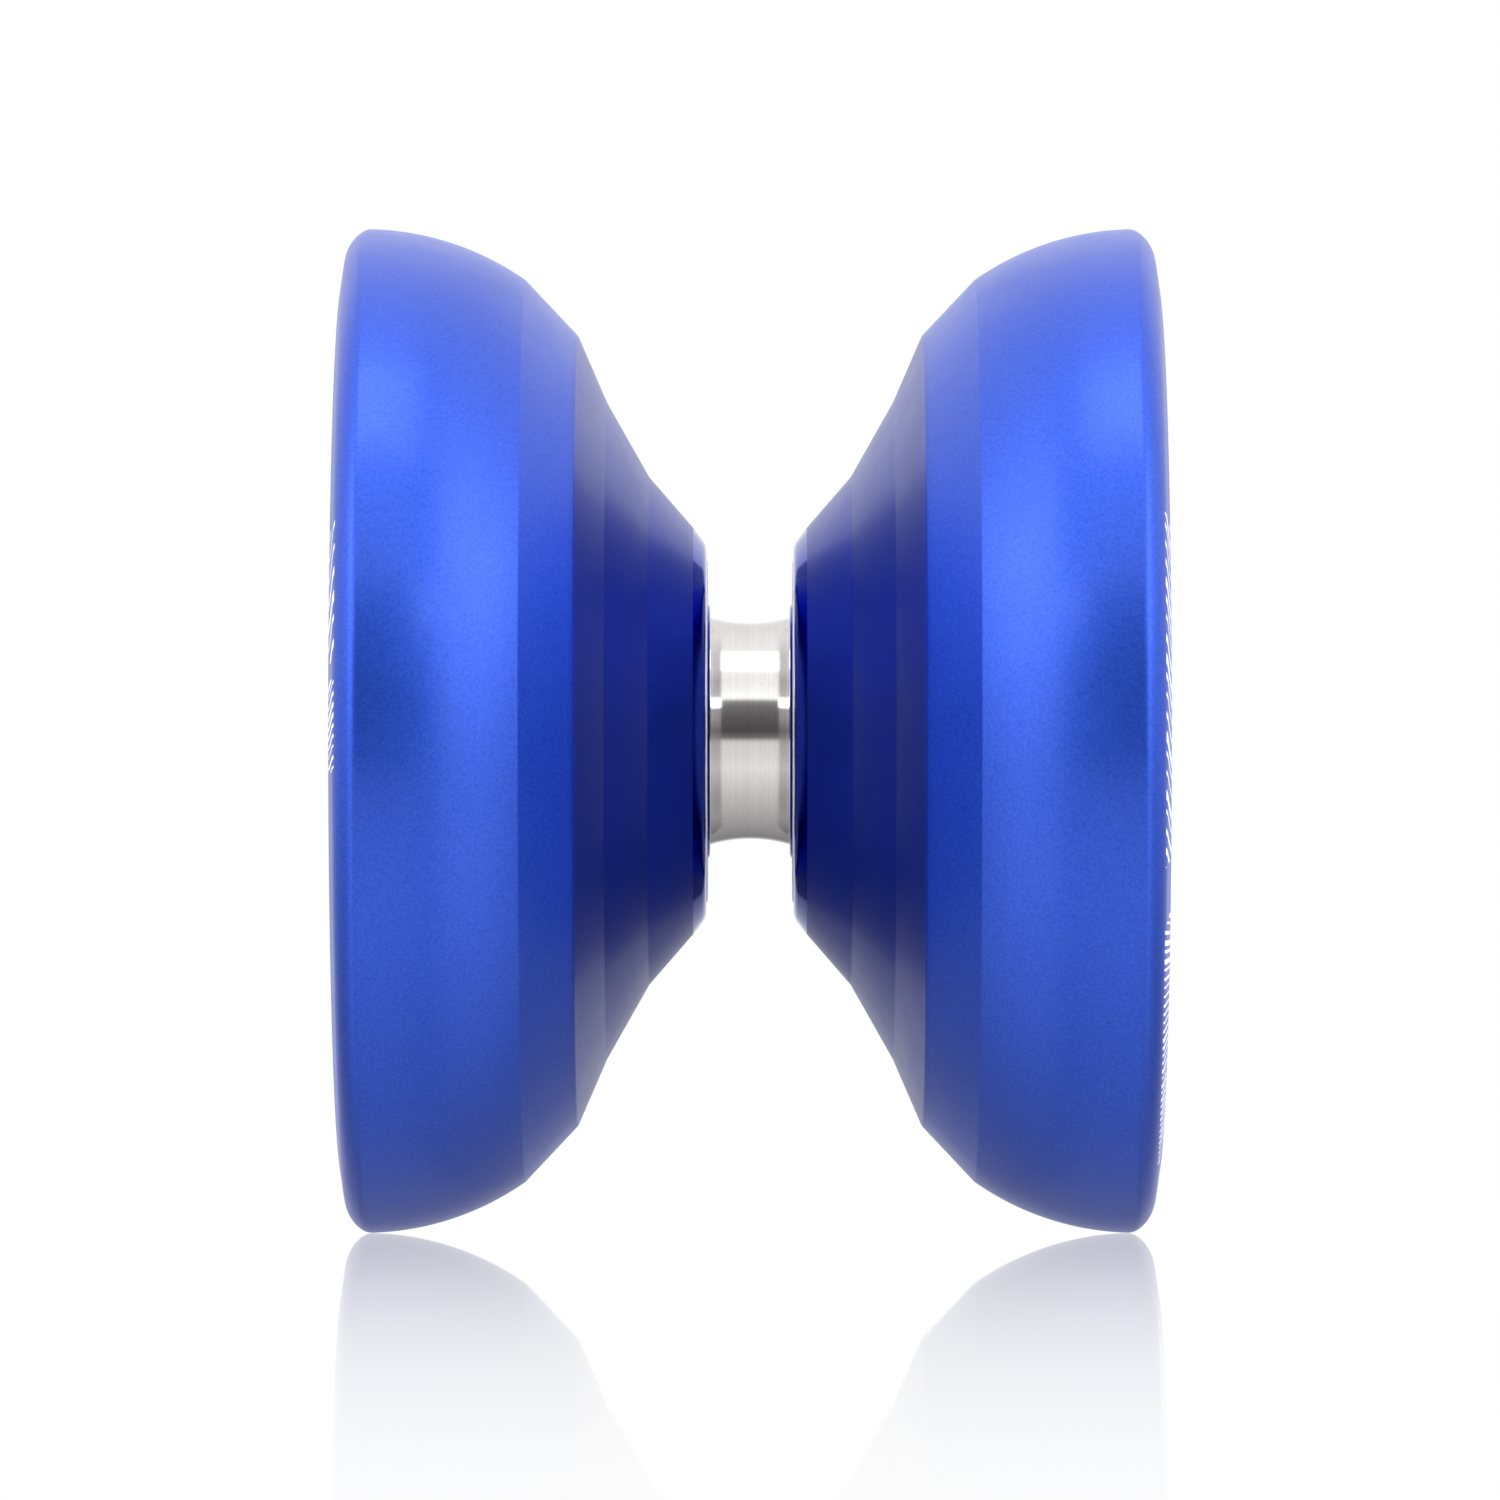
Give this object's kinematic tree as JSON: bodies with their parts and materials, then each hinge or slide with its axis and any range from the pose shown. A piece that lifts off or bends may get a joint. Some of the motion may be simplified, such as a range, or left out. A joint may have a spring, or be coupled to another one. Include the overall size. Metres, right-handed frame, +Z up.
{
  "type": "yo yo",
  "caption": "Wide, waisted metal yo-yo: two cupped halves screwed onto one threaded axle, with a concave ball bearing and silicone response pads in the string gap.",
  "frame": {"origin": "on the axle's axis, in the middle of the ball bearing and of the whole yo-yo", "axes": "+X along the axle towards the half that unscrews, +Z up with the yo-yo standing on both rims"},
  "size_m": [0.0454, 0.056, 0.056],
  "materials": {
    "blue_anodised_aluminium": "satin",
    "white_silicone": "matte",
    "axle_steel": "satin",
    "bearing_steel": "satin",
    "retainer_steel": "satin"
  },
  "bodies": {
    "left_side": {"left_half": "blue_anodised_aluminium", "left_response_pad": "white_silicone", "axle_screw": "axle_steel", "bearing_inner_race": "bearing_steel"},
    "bearing_ring": {"bearing_outer_race": "bearing_steel", "left_shield": "bearing_steel", "right_shield": "bearing_steel", "left_snap_ring": "retainer_steel", "right_snap_ring": "retainer_steel"},
    "cage": {"bearing_cage": "retainer_steel"},
    "ball_1": {"bearing_ball_1": "bearing_steel"},
    "ball_2": {"bearing_ball_2": "bearing_steel"},
    "ball_3": {"bearing_ball_3": "bearing_steel"},
    "ball_4": {"bearing_ball_4": "bearing_steel"},
    "ball_5": {"bearing_ball_5": "bearing_steel"},
    "ball_6": {"bearing_ball_6": "bearing_steel"},
    "ball_7": {"bearing_ball_7": "bearing_steel"},
    "ball_8": {"bearing_ball_8": "bearing_steel"},
    "right_pad_carrier": {"right_response_pad": "white_silicone"},
    "right_side": {"right_half": "blue_anodised_aluminium"}
  },
  "joints": [
    {"name": "bearing_spin", "type": "hinge", "parent": "left_side", "child": "bearing_ring", "pos_m": [0, 0, 0], "axis": [1, 0, 0], "continuous": true},
    {"name": "cage_orbit", "type": "hinge", "parent": "left_side", "child": "cage", "pos_m": [0, 0, 0], "axis": [1, 0, 0], "continuous": true},
    {"name": "ball_1_roll", "type": "hinge", "parent": "cage", "child": "ball_1", "pos_m": [0, 0, 0.00476], "axis": [1, 0, 0], "continuous": true},
    {"name": "ball_2_roll", "type": "hinge", "parent": "cage", "child": "ball_2", "pos_m": [0, -0.00337, 0.00337], "axis": [1, 0, 0], "continuous": true},
    {"name": "ball_3_roll", "type": "hinge", "parent": "cage", "child": "ball_3", "pos_m": [0, -0.00476, 0], "axis": [1, 0, 0], "continuous": true},
    {"name": "ball_4_roll", "type": "hinge", "parent": "cage", "child": "ball_4", "pos_m": [0, -0.00337, -0.00337], "axis": [1, 0, 0], "continuous": true},
    {"name": "ball_5_roll", "type": "hinge", "parent": "cage", "child": "ball_5", "pos_m": [0, 0, -0.00476], "axis": [1, 0, 0], "continuous": true},
    {"name": "ball_6_roll", "type": "hinge", "parent": "cage", "child": "ball_6", "pos_m": [0, 0.00337, -0.00337], "axis": [1, 0, 0], "continuous": true},
    {"name": "ball_7_roll", "type": "hinge", "parent": "cage", "child": "ball_7", "pos_m": [0, 0.00476, 0], "axis": [1, 0, 0], "continuous": true},
    {"name": "ball_8_roll", "type": "hinge", "parent": "cage", "child": "ball_8", "pos_m": [0, 0.00337, 0.00337], "axis": [1, 0, 0], "continuous": true},
    {"name": "half_slide_out", "type": "slide", "parent": "left_side", "child": "right_pad_carrier", "axis": [1, 0, 0], "range_m": [0, 0.0056]},
    {"name": "half_unscrew", "type": "hinge", "parent": "right_pad_carrier", "child": "right_side", "pos_m": [0, 0, 0], "axis": [1, 0, 0], "range_deg": [0, 2880]}
  ],
  "couplings": [
    {"joint": "cage_orbit", "follows": "bearing_spin", "ratio": 0.58333},
    {"joint": "ball_1_roll", "follows": "bearing_spin", "ratio": 2.9167},
    {"joint": "ball_2_roll", "follows": "bearing_spin", "ratio": 2.9167},
    {"joint": "ball_3_roll", "follows": "bearing_spin", "ratio": 2.9167},
    {"joint": "ball_4_roll", "follows": "bearing_spin", "ratio": 2.9167},
    {"joint": "ball_5_roll", "follows": "bearing_spin", "ratio": 2.9167},
    {"joint": "ball_6_roll", "follows": "bearing_spin", "ratio": 2.9167},
    {"joint": "ball_7_roll", "follows": "bearing_spin", "ratio": 2.9167},
    {"joint": "ball_8_roll", "follows": "bearing_spin", "ratio": 2.9167},
    {"joint": "half_slide_out", "follows": "half_unscrew", "m_per_rad": 0.00011141}
  ]
}
